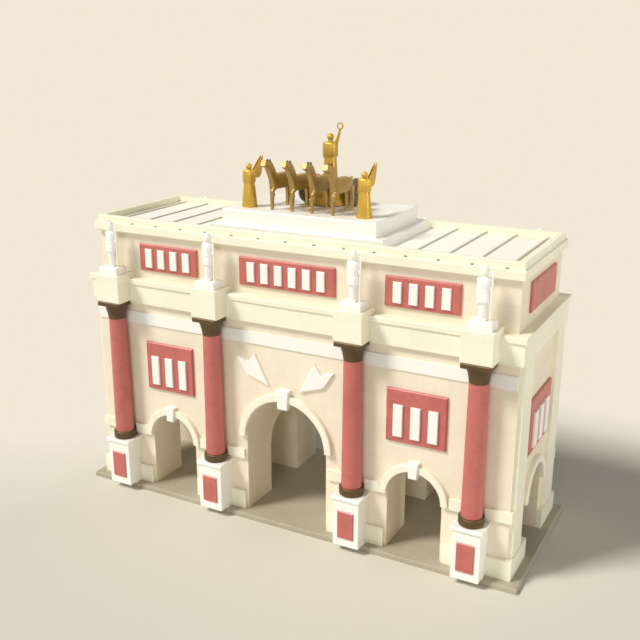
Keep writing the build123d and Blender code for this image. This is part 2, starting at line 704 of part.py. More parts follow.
# ---- four horses abreast in front of the chariot -----------------------------
horse_x = (-1410, -470, 470, 1410)
horse_half = 170
horse_neck = 115
with BuildPart() as one_horse:
    # trunk from the side, nose towards -Y
    with BuildSketch(Plane.YZ.offset(-horse_half)):
        with BuildLine():
            Polyline((-200, 870), (-20, 1060), (-40, 1260), (-280, 1410), (-600, 1480), (-1250, 1490),
                     (-1560, 1400), (-1690, 1120), (-1560, 960), (-1030, 900), close=True)
        make_face()
    extrude(amount=2 * horse_half)
    # neck and head
    with BuildSketch(Plane.YZ.offset(-horse_neck)):
        with BuildLine():
            Polyline((-1200, 1250), (-1330, 1490), (-1780, 2030), (-1860, 2110), (-1930, 2070), (-2260, 2090),
                     (-2290, 1890), (-2120, 1770), (-1930, 1630), (-1790, 1350), (-1690, 1080), close=True)
        make_face()
    extrude(amount=2 * horse_neck)
    # one straight foreleg and the two hind legs
    with Locations([(-75, -1480, 0), (-60, -230, 0), (130, -140, 0)]):
        Box(110, 120, 1100, align=base)
    # raised foreleg: forearm forward, shin hanging
    with BuildSketch(Plane.YZ.offset(35)):
        with BuildLine():
            Polyline((-1350, 950), (-1500, 1000), (-1740, 720), (-1660, 330), (-1550, 330), (-1600, 650),
                     close=True)
        make_face()
    extrude(amount=100)
with BuildPart() as horses:
    with Locations([(x, 0, podium_top) for x in horse_x]):
        add(one_horse.part)
horses.part.label = "horses"
export_step(horses.part, "parts/horses.step")

# ---- chariot: round-fronted body on an axle, pole between the middle horses --
axle_y = 900
axle_z = podium_top + 590
body_low = podium_top + 40
floor_z = podium_top + 660
rail_z = podium_top + 1150
with BuildPart() as chariot:
    with BuildSketch(Plane.XY.offset(body_low)):
        with Locations((0, axle_y - 50)):
            Circle(820)
            Rectangle(1640, 500, align=(Align.CENTER, Align.MIN))
        with Locations((0, axle_y + 450)):
            Rectangle(2000, 1000, align=(Align.CENTER, Align.MIN), mode=Mode.SUBTRACT)
    extrude(amount=floor_z - body_low)
    with BuildSketch(Plane.XY.offset(floor_z)):
        with Locations((0, axle_y - 50)):
            Circle(820)
            Rectangle(1640, 500, align=(Align.CENTER, Align.MIN))
            Circle(740, mode=Mode.SUBTRACT)
            Rectangle(1480, 900, align=(Align.CENTER, Align.MIN), mode=Mode.SUBTRACT)
        with Locations((0, axle_y + 450)):
            Rectangle(2000, 1000, align=(Align.CENTER, Align.MIN), mode=Mode.SUBTRACT)
    extrude(amount=rail_z - floor_z)
    with Locations(Location((0, axle_y, axle_z), (0, 90, 0))):
        Cylinder(60, 2560)
    with BuildSketch(Plane.YZ.offset(-45)):
        with BuildLine():
            Polyline((axle_y - 750, podium_top + 250), (-1000, podium_top + 1040),
                     (-1000, podium_top + 1130), (axle_y - 750, podium_top + 340), close=True)
        make_face()
    extrude(amount=90)
chariot.part.label = "chariot"
export_step(chariot.part, "parts/chariot.step")

wheel_x = 1200
with BuildPart() as one_wheel:
    with BuildSketch(Plane.YZ.offset(wheel_x - 80)):
        with Locations((axle_y, axle_z)):
            Circle(590)
            Circle(470, mode=Mode.SUBTRACT)
            with PolarLocations(0, 4, angular_range=180, endpoint=False):
                Rectangle(1000, 80)
            Circle(130)
            Circle(60, mode=Mode.SUBTRACT)
    extrude(amount=160)
with BuildPart() as chariot_wheels:
    add(one_wheel.part)
    mirror(one_wheel.part, about=Plane.YZ)
chariot_wheels.part.label = "chariot_wheels"
export_step(chariot_wheels.part, "parts/chariot_wheels.step")

# ---- charioteer with a raised arm and a wreath -------------------------------
wreath_x = 450
wreath_z = floor_z + 2640
wreath_radius = 160
with BuildPart() as charioteer:
    with Locations((0, axle_y, floor_z)):
        Cone(330, 265, 1370, align=base)
    with Locations((0, axle_y, floor_z + 1360)):
        Cylinder(285, 600, align=base)
    with Locations((0, axle_y, floor_z + 1960)):
        Cone(285, 80, 50, align=base)
        Cylinder(75, 120, align=base)
    with Locations((0, axle_y, floor_z + 2170)):
        Sphere(145)
    with BuildSketch(Plane.XZ.offset(-axle_y - 55)):
        with BuildLine():
            Polyline((200, floor_z + 1870), (330, floor_z + 1870), (500, floor_z + 2520),
                     (400, floor_z + 2520), close=True)
        make_face()
        with Locations((wreath_x, wreath_z)):
            Circle(wreath_radius, mode=Mode.SUBTRACT)
    extrude(amount=110)
charioteer.part.label = "charioteer"
export_step(charioteer.part, "parts/charioteer.step")

with BuildPart() as wreath:
    with BuildSketch(Plane.XZ.offset(-axle_y - 40)):
        with Locations((wreath_x, wreath_z)):
            Circle(wreath_radius)
            Circle(wreath_radius - 70, mode=Mode.SUBTRACT)
    extrude(amount=80)
wreath.part.label = "wreath"
export_step(wreath.part, "parts/wreath.step")

# ---- two winged figures beside the horses ------------------------------------
victory_x = 2670
victory_y = -1340
with BuildPart() as one_victory:
    Cone(315, 225, 1060, align=base)
    with Locations((0, 0, 1050)):
        Cylinder(240, 500, align=base)
    with Locations((0, 0, 1550)):
        Cone(240, 70, 40, align=base)
        Cylinder(65, 100, align=base)
    with Locations((0, 0, 1690)):
        Sphere(130)
    # two wings swept back
    for x in (-80, 30):
        with BuildSketch(Plane.YZ.offset(x)):
            with BuildLine():
                Polyline((190, 1430), (1050, 2090), (940, 1270), (590, 1110), (190, 1200), close=True)
            make_face()
        extrude(amount=50)
with BuildPart() as victories:
    with Locations([(s * victory_x, victory_y, podium_top) for s in sides]):
        add(one_victory.part)
victories.part.label = "victories"
export_step(victories.part, "parts/victories.step")
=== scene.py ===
import bpy, bmesh, math
from mathutils import Vector, Matrix


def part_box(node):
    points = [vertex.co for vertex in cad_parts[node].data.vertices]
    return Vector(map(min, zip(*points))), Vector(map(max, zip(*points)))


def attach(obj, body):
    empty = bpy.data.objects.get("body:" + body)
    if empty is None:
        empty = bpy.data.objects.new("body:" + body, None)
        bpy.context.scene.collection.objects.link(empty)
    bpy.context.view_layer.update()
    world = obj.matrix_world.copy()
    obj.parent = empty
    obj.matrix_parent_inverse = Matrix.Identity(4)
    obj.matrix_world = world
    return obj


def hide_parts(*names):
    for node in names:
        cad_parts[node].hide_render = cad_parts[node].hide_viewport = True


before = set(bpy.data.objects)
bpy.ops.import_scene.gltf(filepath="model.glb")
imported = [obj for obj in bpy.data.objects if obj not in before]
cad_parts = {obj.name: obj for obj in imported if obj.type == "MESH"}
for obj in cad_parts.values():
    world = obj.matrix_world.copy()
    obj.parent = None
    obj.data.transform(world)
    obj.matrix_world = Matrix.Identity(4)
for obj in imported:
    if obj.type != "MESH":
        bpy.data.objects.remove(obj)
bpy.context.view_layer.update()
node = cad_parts

# ---- Step and footing blocks -------------------------------------------------
# One low limestone step carries the building, with a footing block under the
# nose of each pedestal. Sawn slabs, laid flat, worn by feet and weather.


def blank(name):
    mat = bpy.data.materials.new(name)
    mat.use_nodes = True
    tree = mat.node_tree
    return mat, tree, tree.nodes["Principled BSDF"]


def put(tree, kind, **values):
    made = tree.nodes.new(kind)
    for key, value in values.items():
        if hasattr(made, key):
            setattr(made, key, value)
        else:
            made.inputs[key.replace("_", " ")].default_value = value
    return made


def join(tree, out, into):
    tree.links.new(out, into)


def sums(tree, how, a, b):
    made = tree.nodes.new("ShaderNodeMath")
    made.operation = how
    for socket, value in zip(made.inputs, (a, b)):
        if isinstance(value, (int, float)):
            socket.default_value = value
        else:
            tree.links.new(value, socket)
    return made.outputs[0]


def blend_colour(tree, how, amount, a, b):
    made = tree.nodes.new("ShaderNodeMix")
    made.data_type = "RGBA"
    made.blend_type = how
    made.clamp_result = False
    for socket, value in zip((made.inputs[0], made.inputs[6], made.inputs[7]), (amount, a, b)):
        if hasattr(value, "is_output"):
            tree.links.new(value, socket)
        elif isinstance(value, tuple):
            socket.default_value = (*value, 1.0)
        else:
            socket.default_value = value
    return made.outputs[2]


def spread(tree, value, low, high, to_low, to_high):
    made = tree.nodes.new("ShaderNodeMapRange")
    for socket, limit in zip(made.inputs[1:5], (low, high, to_low, to_high)):
        socket.default_value = limit
    join(tree, value, made.inputs[0])
    return made.outputs[0]


def place(tree):
    return put(tree, "ShaderNodeTexCoord").outputs["Object"]


def split(tree, vector):
    made = put(tree, "ShaderNodeSeparateXYZ")
    join(tree, vector, made.inputs[0])
    return made.outputs


def noise(tree, where, **values):
    made = put(tree, "ShaderNodeTexNoise", **values)
    join(tree, where, made.inputs["Vector"])
    return made.outputs[0]


def dress(tree, bsdf, tone, grain, rough, height, relief):
    # colour, a roughness that follows the grain between two limits, and fine relief
    join(tree, tone, bsdf.inputs["Base Color"])
    join(tree, spread(tree, grain, 0.3, 0.7, *rough), bsdf.inputs["Roughness"])
    bump = put(tree, "ShaderNodeBump", Strength=relief, Distance=1.0)
    join(tree, height, bump.inputs["Height"])
    join(tree, bump.outputs[0], bsdf.inputs["Normal"])


def face_plane(tree):
    # lays a flat pattern on each face: along the wall and up it, or along and across a top
    edge_on = 0.71
    where = split(tree, place(tree))
    facing = split(tree, put(tree, "ShaderNodeNewGeometry").outputs["Normal"])
    end_on = sums(tree, "GREATER_THAN", sums(tree, "ABSOLUTE", facing[0], 0), edge_on)
    level = sums(tree, "GREATER_THAN", sums(tree, "ABSOLUTE", facing[2], 0), edge_on)
    along = sums(tree, "ADD", sums(tree, "MULTIPLY", where[1], end_on),
                 sums(tree, "MULTIPLY", where[0], sums(tree, "SUBTRACT", 1.0, end_on)))
    up = sums(tree, "ADD", sums(tree, "MULTIPLY", where[1], level),
              sums(tree, "MULTIPLY", where[2], sums(tree, "SUBTRACT", 1.0, level)))
    flat = put(tree, "ShaderNodeCombineXYZ")
    join(tree, along, flat.inputs[0])
    join(tree, up, flat.inputs[1])
    return flat.outputs[0]


def stone(name, colour, cloud=0.10, grain=0.06, rough=0.55, joints=None, joint_dark=0.25,
          tint=0.05, pits=0.0012, stain=0.0):
    # cut stone: broad clouds of colour, crystal grain, fine pits and flush joints
    mat, tree, bsdf = blank(name)
    here = place(tree)
    broad = noise(tree, here, Scale=0.45, Detail=5.0, Roughness=0.6)
    fine = noise(tree, here, Scale=14.0, Detail=6.0, Roughness=0.7)
    tone = blend_colour(tree, "MULTIPLY", 1.0, colour,
                        blend_colour(tree, "MIX", spread(tree, broad, 0.3, 0.7, 0, 1),
                                     (1 - cloud, 1 - cloud * 1.1, 1 - cloud * 1.35), (1, 1, 1)))
    tone = blend_colour(tree, "MULTIPLY", 1.0, tone,
                        blend_colour(tree, "MIX", spread(tree, fine, 0.35, 0.65, 0, 1),
                                     (1 - grain, 1 - grain, 1 - grain), (1, 1, 1)))
    height = sums(tree, "MULTIPLY", fine, pits)
    if joints:
        wide, tall, gap, shift = joints
        joint_depth = 0.003
        block = put(tree, "ShaderNodeTexBrick", offset=shift, offset_frequency=2, squash=1.0, Scale=1.0,
                    Mortar_Size=gap, Mortar_Smooth=0.3, Bias=0.0, Brick_Width=wide, Row_Height=tall,
                    Color1=(1 - tint, 1 - tint, 1 - tint * 1.2, 1), Color2=(1, 1, 1, 1),
                    Mortar=(1 - joint_dark, 1 - joint_dark, 1 - joint_dark, 1))
        join(tree, face_plane(tree), block.inputs["Vector"])
        tone = blend_colour(tree, "MULTIPLY", 1.0, tone, block.outputs["Color"])
        height = sums(tree, "SUBTRACT", height, sums(tree, "MULTIPLY", block.outputs["Fac"], joint_depth))
    if stain:
        # rain streaks, drawn out down the wall
        stretch = put(tree, "ShaderNodeMapping", Scale=(2.2, 2.2, 0.22))
        join(tree, here, stretch.inputs["Vector"])
        streak = noise(tree, stretch.outputs[0], Scale=1.6, Detail=4.0, Roughness=0.55)
        tone = blend_colour(tree, "MULTIPLY", spread(tree, streak, 0.52, 0.75, 0, stain), tone,
                            (0.78, 0.75, 0.70))
    dress(tree, bsdf, tone, fine, (rough - 0.07, rough + 0.07), height, relief=0.7)
    return mat


def coat(mat, *names):
    # gives a CAD node its finish
    for name in names:
        slots = node[name].data.materials
        slots.clear()
        slots.append(mat)


step_stone = stone("step_limestone", (0.47, 0.42, 0.315), cloud=0.12, grain=0.10, rough=0.75,
                   joints=(1.20, 0.90, 0.004, 0.5), tint=0.07, pits=0.002)
coat(step_stone, "stylobate", "pedestal_feet")

# ---- Piers, walls and vaults -------------------------------------------------
# The body of the arch: rubble core faced with honed cream marble in flush
# blocks, laid in courses half a block over each other.
cream = stone("cream_marble", (0.90, 0.81, 0.63), joints=(1.30, 0.53, 0.0035, 0.5), joint_dark=0.16,
              tint=0.035, cloud=0.07, grain=0.035, stain=0.12)
coat(cream, "front_piers", "back_piers", "front_wall", "back_wall", "centre_vault", "left_vault",
     "right_vault", "attic_front_wall", "attic_back_wall", "attic_end_walls")

# ---- Socles, arch rings and impost bands -------------------------------------
# Plain base blocks, arch rings and the band at their feet, with the end pilasters,
# entablature, cornices and parapet: pale marble, dowelled to the wall.
pale = stone("pale_marble", (0.93, 0.895, 0.71), cloud=0.05, grain=0.03, rough=0.5,
             joints=(1.60, 2.00, 0.003, 0.5), joint_dark=0.14, tint=0.03)
coat(pale, "socles", "end_pilasters", "arch_rings", "impost_bands", "entablature", "cornice",
     "ressauts", "attic_cornice", "parapet")

# ---- White marble parts ------------------------------------------------------
# Keystones, frieze band, pedestals, panel bars, reliefs, plinths and podium are
# cut from white statuary marble and rubbed smooth.
white = stone("white_marble", (0.925, 0.905, 0.825), cloud=0.035, grain=0.02, rough=0.42)
coat(white, "keystones", "frieze_bands", "pedestals", "wall_panel_bars", "attic_panel_bars",
     "winged_reliefs", "statue_plinths", "podium")

# ---- Roof slabs and ribs -----------------------------------------------------
# Stone slabs bedded across the roof inside the parapet, with raised ribs laid over the joints between them.
# The ribs are coloured much darker than the slabs: partly a darker stone, partly painted shade for the strips
# of shade along them.
roof = stone("roof_stone", (0.97, 0.95, 0.85), cloud=0.03, grain=0.02, rough=0.65)
coat(roof, "roof_deck")
# rib colour: a darker stone and painted shade together
rib = stone("rib_stone_and_shade", (0.55, 0.50, 0.40), cloud=0.08, rough=0.7)
coat(rib, "roof_ribs")

# ---- Red marble shafts and panels --------------------------------------------
# Column shafts turned from single blocks of red marble, and slabs of the same
# stone let into the walls, polished.


def red_stone(name, colour, pale_vein, rough):
    mat, tree, bsdf = blank(name)
    here = place(tree)
    warp = noise(tree, here, Scale=0.9, Detail=5.0, Roughness=0.62, Distortion=1.2)
    flecks = noise(tree, here, Scale=9.0, Detail=8.0, Roughness=0.7, Distortion=0.8)
    vein = spread(tree, sums(tree, "ABSOLUTE", sums(tree, "SUBTRACT", warp, 0.5), 0), 0.0, 0.035, 1.0, 0.0)
    tone = blend_colour(tree, "MIX", spread(tree, warp, 0.3, 0.7, 0, 1),
                        tuple(c * 0.90 for c in colour), tuple(min(c * 1.08, 1) for c in colour))
    tone = blend_colour(tree, "MIX", spread(tree, flecks, 0.45, 0.8, 0, 0.25), tone,
                        tuple(c * 0.72 for c in colour))
    tone = blend_colour(tree, "MIX", sums(tree, "MULTIPLY", vein, 0.10), tone, pale_vein)
    dress(tree, bsdf, tone, flecks, (rough - 0.05, rough + 0.05),
          sums(tree, "MULTIPLY", flecks, 0.0006), relief=0.5)
    return mat


red = red_stone("red_marble", (0.53, 0.140, 0.115), (0.66, 0.30, 0.25), 0.40)
coat(red, "column_shafts", "wall_panels", "attic_panels", "pedestal_panels")

# ---- Bronze bases and capitals -----------------------------------------------
# Cast bronze, slipped over the ends of the shafts and bolted there, and left
# to brown in the air.


def bronze(name, colour, dark, metal, rough):
    mat, tree, bsdf = blank(name)
    here = place(tree)
    patina = noise(tree, here, Scale=2.2, Detail=6.0, Roughness=0.65)
    pores = noise(tree, here, Scale=26.0, Detail=4.0, Roughness=0.6)
    tone = blend_colour(tree, "MIX", spread(tree, patina, 0.35, 0.65, 0, 1), dark, colour)
    tone = blend_colour(tree, "MULTIPLY", spread(tree, pores, 0.4, 0.7, 0, 0.35), tone, (0.82, 0.80, 0.76))
    bsdf.inputs["Metallic"].default_value = metal
    dress(tree, bsdf, tone, pores, (rough - 0.06, rough + 0.08),
          sums(tree, "MULTIPLY", pores, 0.0015), relief=0.6)
    return mat


brown_bronze = bronze("brown_bronze", (0.130, 0.080, 0.034), (0.095, 0.058, 0.025), 0.35, 0.42)
coat(brown_bronze, "column_bases", "capitals")

# ---- Soldiers ----------------------------------------------------------------
# Four soldiers a side, carved in white marble: boots, belted tunic and cloak,
# a tall cap, and a spear held upright. Each is pinned to its plinth.


def solids(name):
    # the box of every separate solid in a CAD node, from -X to +X
    whole = bmesh.new()
    whole.from_mesh(node[name].data)
    bmesh.ops.remove_doubles(whole, verts=whole.verts, dist=0.0001)
    left, boxes = set(whole.verts), []
    while left:
        reached, edge = set(), [left.pop()]
        while edge:
            point = edge.pop()
            reached.add(point)
            near = {link.other_vert(point) for link in point.link_edges} & left
            left -= near
            edge.extend(near)
        boxes.append((Vector(min(v.co[i] for v in reached) for i in range(3)),
                      Vector(max(v.co[i] for v in reached) for i in range(3))))
    whole.free()
    return sorted(boxes, key=lambda box: (round(box[0].y, 1), box[0].x))


def skin(form, path, up=(0, 1, 0), sides=12, level=None, flute=0.0, square=2):
    # closed form through rings; each row is a ring's middle, its half across and its half along up;
    # square is 2 for oval rings and more for rings that fill out their corners
    rings = []
    for i, (x, y, z, across, along) in enumerate(path):
        ahead = Vector(path[min(i + 1, len(path) - 1)][:3]) - Vector(path[max(i - 1, 0)][:3])
        ahead = Vector(level) if level else ahead.normalized()
        lift = Vector(up) - ahead * ahead.dot(Vector(up))
        lift.normalize()
        stand = Matrix((lift.cross(ahead), lift, ahead)).transposed().to_4x4()
        stand.translation = (x, y, z)
        shape = stand @ Matrix.Diagonal((across, along, 1, 1))
        made = bmesh.ops.create_circle(form, radius=1.0, segments=sides,
                                       matrix=shape @ Matrix.Rotation(math.pi / sides, 4, "Z"))["verts"]
        for number, point in enumerate(made):
            u, v, _ = shape.inverted() @ point.co
            reach = (abs(u) ** square + abs(v) ** square) ** (-1 / square) * (1 - flute * (number % 2))
            point.co = shape @ Vector((u * reach, v * reach, 0))
        rings.append(list({link for point in made for link in point.link_edges}))
    for low, high in zip(rings, rings[1:]):
        bmesh.ops.bridge_loops(form, edges=low + high)
    bmesh.ops.edgeloop_fill(form, edges=rings[0])
    bmesh.ops.edgeloop_fill(form, edges=rings[-1])


def finish(form, name, mat, stands_for, crease=40, bevel=0.0):
    # turns a form into a piece of the arch with its finish, and hides the CAD node it stands for
    bmesh.ops.recalc_face_normals(form, faces=form.faces)
    mesh = bpy.data.meshes.new(name)
    form.to_mesh(mesh)
    form.free()
    for face in mesh.polygons:
        face.use_smooth = True
    mesh.set_sharp_from_angle(angle=math.radians(crease))
    piece = bpy.data.objects.new(name, mesh)
    bpy.context.scene.collection.objects.link(piece)
    mesh.materials.append(mat)
    if bevel:
        edge = piece.modifiers.new("edge", "BEVEL")
        edge.width, edge.segments, edge.limit_method = bevel, 2, "ANGLE"
    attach(piece, "root")
    if stands_for:
        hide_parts(stands_for)


def pour(form, whole):
    # moves a finished figure into the form that holds its whole group
    mesh = bpy.data.meshes.new("poured")
    form.to_mesh(mesh)
    form.free()
    whole.from_mesh(mesh)
    bpy.data.meshes.remove(mesh)


upright = (0, 0, 1)
arm_reach = 0.27        # a soldier's axis to the outside of the left arm
soldiers = bmesh.new()
for low, high in solids("statues"):
    man = bmesh.new()
    # boot tips, long under-robe, tunic, belt and chest
    for side in (-1, 1):
        skin(man, [(0.085 * side, -0.10, 0.0, 0.07, 0.10), (0.085 * side, -0.10, 0.035, 0.07, 0.10),
                   (0.085 * side, -0.08, 0.07, 0.055, 0.08)], level=upright)
    skin(man, [(0, 0, 0.02, 0.178, 0.172), (0, 0, 0.05, 0.182, 0.176), (0, 0, 0.35, 0.176, 0.170),
               (0, 0, 0.74, 0.182, 0.172)], sides=32, level=upright, flute=0.05)
    skin(man, [(0, 0, 0.68, 0.24, 0.225), (0, 0, 0.71, 0.243, 0.228), (0, 0, 0.90, 0.225, 0.205),
               (0, 0, 1.06, 0.207, 0.185)], sides=32, level=upright, flute=0.03, square=2.4)
    skin(man, [(0, 0, 1.04, 0.205, 0.185), (0, 0, 1.05, 0.214, 0.194), (0, 0, 1.09, 0.214, 0.194),
               (0, 0, 1.10, 0.205, 0.185)], sides=24, level=upright, square=2.4)
    skin(man, [(0, 0, 1.08, 0.205, 0.182), (0, 0, 1.30, 0.216, 0.192), (0, 0, 1.50, 0.225, 0.190),
               (0, 0, 1.545, 0.21, 0.165), (0, 0, 1.575, 0.13, 0.11), (0, 0, 1.60, 0.082, 0.082),
               (0, 0, 1.67, 0.075, 0.078)], sides=24, level=upright, square=2.6)
    # cloak hung from the shoulders
    skin(man, [(0, 0.13, 0.40, 0.19, 0.06), (0, 0.13, 0.42, 0.195, 0.065), (0, 0.13, 0.95, 0.20, 0.07),
               (0, 0.12, 1.40, 0.205, 0.075), (0, 0.08, 1.53, 0.185, 0.08), (0, 0.06, 1.57, 0.11, 0.07)],
         sides=24, level=upright, flute=0.06, square=3)
    # head without features, under a tall cap with a rolled edge
    skin(man, [(0, -0.005, 1.62, 0.06, 0.065), (0, -0.012, 1.65, 0.10, 0.108),
               (0, -0.012, 1.72, 0.116, 0.124), (0, -0.01, 1.80, 0.118, 0.126), (0, 0, 1.86, 0.10, 0.11)],
         sides=20, level=upright)
    skin(man, [(0, 0, 1.775, 0.12, 0.126), (0, 0, 1.785, 0.135, 0.14), (0, 0, 1.81, 0.135, 0.14),
               (0, 0, 1.825, 0.127, 0.132), (0, 0, 1.92, 0.126, 0.13), (0, -0.01, 1.965, 0.105, 0.11),
               (0, -0.015, 1.99, 0.06, 0.065), (0, -0.015, 2.0, 0.018, 0.02)], sides=20, level=upright)
    # left arm at the side, right hand on the spear
    skin(man, [(-0.17, 0, 1.535, 0.06, 0.07), (-0.20, 0, 1.50, 0.07, 0.075), (-0.21, 0.01, 1.30, 0.06, 0.066),
               (-0.213, -0.01, 1.12, 0.055, 0.06), (-0.213, -0.03, 0.95, 0.046, 0.05),
               (-0.213, -0.035, 0.86, 0.04, 0.045), (-0.213, -0.035, 0.82, 0.02, 0.025)], square=3)
    skin(man, [(0.17, 0, 1.535, 0.06, 0.07), (0.20, 0, 1.50, 0.07, 0.075), (0.215, 0.01, 1.30, 0.06, 0.066),
               (0.232, -0.02, 1.20, 0.055, 0.06), (0.272, -0.045, 1.12, 0.044, 0.05),
               (0.295, -0.04, 1.08, 0.034, 0.04)], square=3)
    skin(man, [(0.29, -0.04, 0.0, 0.034, 0.034), (0.31, -0.04, 1.62, 0.03, 0.03),
               (0.31, -0.04, 1.64, 0.042, 0.02), (0.31, -0.04, 1.72, 0.044, 0.02),
               (0.31, -0.04, 1.88, 0.006, 0.006)], sides=8, level=upright)
    near_side = low.y < 0
    if not near_side:
        bmesh.ops.rotate(man, verts=man.verts, cent=(0, 0, 0), matrix=Matrix.Rotation(math.pi, 3, "Z"))
    axis_x = low.x + arm_reach if near_side else high.x - arm_reach
    bmesh.ops.translate(man, verts=man.verts, vec=(axis_x, (low.y + high.y) / 2, low.z))
    pour(man, soldiers)
finish(soldiers, "soldiers", white, "statues", crease=50)

# ---- Rain spouts -------------------------------------------------------------
# Small cast lead spouts let through the foot of the parapet, front and back, at
# the spacing of the roof ribs, to throw rain clear of the wall.
lead = bronze("dull_lead", (0.36, 0.34, 0.26), (0.30, 0.28, 0.21), 0.1, 0.7)
parapet_low, parapet_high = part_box("parapet")
rib_lines = sorted({round(box[0].x, 3) for box in solids("roof_ribs")})
pitch = min(b - a for a, b in zip(rib_lines, rib_lines[1:]) if b - a > 0.5)
spout_size = (0.10, 0.10, 0.03)
spout_out, spout_up = 0.03, 0.02        # its middle, out from the parapet and up from its foot
lip, bore = 0.008, 0.015
each_way = 7                            # spouts each way from the middle one
spouts = bmesh.new()
for step in range(-each_way, each_way + 1):
    for face in (parapet_low.y, parapet_high.y):
        out = 1 if face > 0 else -1
        middle = (pitch * step, face + spout_out * out, parapet_low.z + spout_up)
        block = bmesh.ops.create_cube(spouts, size=1.0, matrix=Matrix.Translation(middle)
                                      @ Matrix.Diagonal((*spout_size, 1)))
        mouth = [f for f in {f for v in block["verts"] for f in v.link_faces} if f.normal.y * out > 0.9]
        bmesh.ops.inset_individual(spouts, faces=mouth, thickness=lip, depth=-bore)
finish(spouts, "rain_spouts", lead, None, crease=30)

# ---- Horses ------------------------------------------------------------------
# Four horses abreast in cast bronze, each in broad chased planes, near foreleg
# raised; three hooves of each are pinned through to the podium.
horse_bronze = bronze("horse_bronze", (0.46, 0.30, 0.09), (0.40, 0.26, 0.075), 0.45, 0.36)
across = (1, 0, 0)
ear_apart = 0.06        # each ear to the middle of the head
team, ears = bmesh.new(), bmesh.new()
for low, high in solids("horses"):
    beast = bmesh.new()
    skin(beast, [(0, -0.03, 1.15, 0.10, 0.08), (0, -0.08, 1.15, 0.20, 0.135),
                 (0, -0.28, 1.13, 0.27, 0.17), (0, -0.60, 1.15, 0.325, 0.17),
                 (0, -1.00, 1.155, 0.335, 0.165), (0, -1.30, 1.165, 0.33, 0.17),
                 (0, -1.52, 1.14, 0.27, 0.16), (0, -1.64, 1.10, 0.17, 0.12)], up=across, square=7)
    # straight deep neck, then the head with its muzzle cut square
    skin(beast, [(0, -1.42, 1.20, 0.20, 0.125), (0, -1.56, 1.42, 0.205, 0.120),
                 (0, -1.68, 1.62, 0.205, 0.115), (0, -1.82, 1.83, 0.20, 0.112),
                 (0, -1.87, 1.91, 0.16, 0.10)], up=across, square=8)
    skin(beast, [(0, -1.73, 1.92, 0.12, 0.10), (0, -1.88, 1.88, 0.17, 0.115), (0, -2.08, 1.945, 0.145, 0.115),
                 (0, -2.20, 1.985, 0.125, 0.112), (0, -2.34, 2.03, 0.115, 0.108)], up=across, square=8)
    bmesh.ops.bisect_plane(beast, geom=beast.verts[:] + beast.edges[:] + beast.faces[:],
                           plane_co=(0, -2.265, 2.0), plane_no=(0, -0.90, 0.44), clear_outer=True)
    bmesh.ops.holes_fill(beast, edges=[e for e in beast.edges if e.is_boundary], sides=0)
    # straight foreleg, hind legs, raised foreleg
    skin(beast, [(-0.075, -1.47, 1.00, 0.13, 0.085), (-0.075, -1.475, 0.80, 0.082, 0.074),
                 (-0.075, -1.48, 0.56, 0.070, 0.068), (-0.075, -1.48, 0.08, 0.067, 0.065)],
         up=across, square=8)
    for hip, back in ((-0.06, -0.23), (0.13, -0.14)):
        skin(beast, [(hip * 0.9, back - 0.04, 1.02, 0.17, 0.085), (hip, back - 0.01, 0.82, 0.105, 0.075),
                     (hip, back + 0.01, 0.58, 0.078, 0.070), (hip, back, 0.36, 0.070, 0.067),
                     (hip, back - 0.01, 0.08, 0.067, 0.065)], up=across, square=8)
    skin(beast, [(0.085, -1.42, 0.98, 0.095, 0.068), (0.085, -1.56, 0.90, 0.080, 0.060),
                 (0.085, -1.70, 0.815, 0.066, 0.057), (0.085, -1.74, 0.775, 0.058, 0.056)],
         up=across, square=8)
    skin(beast, [(0.085, -1.72, 0.82, 0.052, 0.054), (0.085, -1.67, 0.72, 0.054, 0.054),
                 (0.085, -1.61, 0.60, 0.058, 0.056)], up=across, square=8)
    for hoof, y in ((-0.075, -1.495), (-0.06, -0.25), (0.13, -0.16)):
        skin(beast, [(hoof, y, 0.0, 0.070, 0.078), (hoof, y, 0.02, 0.070, 0.078),
                     (hoof, y + 0.01, 0.095, 0.064, 0.067)], sides=8, level=upright, square=8)
    place_x = (low.x + high.x) / 2
    bmesh.ops.translate(beast, verts=beast.verts, vec=(place_x, 0, low.z))
    # ears and mane ridges, built apart so they can take the darker brown bronze: painted shade, standing in
    # for the shade and dark reflection on them
    for side in (-1, 1):
        ear = place_x + ear_apart * side
        skin(ears, [(ear, -1.88, low.z + 1.97, 0.05, 0.08), (ear, -1.87, low.z + 2.05, 0.045, 0.07),
                    (ear, -1.83, low.z + 2.12, 0.02, 0.03)], level=upright, square=4)
    skin(ears, [(place_x, -1.40, low.z + 1.50, 0.03, 0.03), (place_x, -1.52, low.z + 1.67, 0.05, 0.03),
                (place_x, -1.74, low.z + 1.98, 0.05, 0.03), (place_x, -1.82, low.z + 2.05, 0.02, 0.02)],
         up=across, sides=6)
    pour(beast, team)
finish(team, "four_horses", horse_bronze, "horses", crease=18, bevel=0.006)
# the ears and manes get the darker brown bronze of the capitals as painted shade
finish(ears, "ears_and_manes_painted_shade", brown_bronze, None, crease=30)

# ---- Chariot -----------------------------------------------------------------
# Round-fronted car of gilt bronze plates on a pole and axle, with a rolled rail
# round its lip and a moulding at its foot.
# the car, its mouldings, the driver and the wreath take the darker copy of the gilt bronze: painted shade
# beside the victories' brighter copy
gilt = bronze("gilt_bronze", (0.56, 0.35, 0.055), (0.50, 0.305, 0.045), 0.50, 0.42)
coat(gilt, "chariot")
car_low, car_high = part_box("chariot")
axle_low, axle_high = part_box("chariot_wheels")
axle_y = (axle_low.y + axle_high.y) / 2
axle_z = (axle_low.z + axle_high.z) / 2
car_radius = 0.82
car_y = axle_y - 0.05
car_back = car_high.y - 0.01
half_turn = [math.pi * (1 + i / 20) for i in range(21)]
trims = bmesh.new()
for z, thick in ((car_high.z - 0.01, 0.045), (car_low.z + 0.06, 0.04)):
    path = [(-car_radius, car_back, z)]
    path += [(car_radius * math.cos(a), car_y + car_radius * math.sin(a), z) for a in half_turn]
    path += [(car_radius, car_back, z)]
    skin(trims, [(*spot, thick, thick) for spot in path], up=upright, sides=8)
finish(trims, "chariot_mouldings", gilt, None)

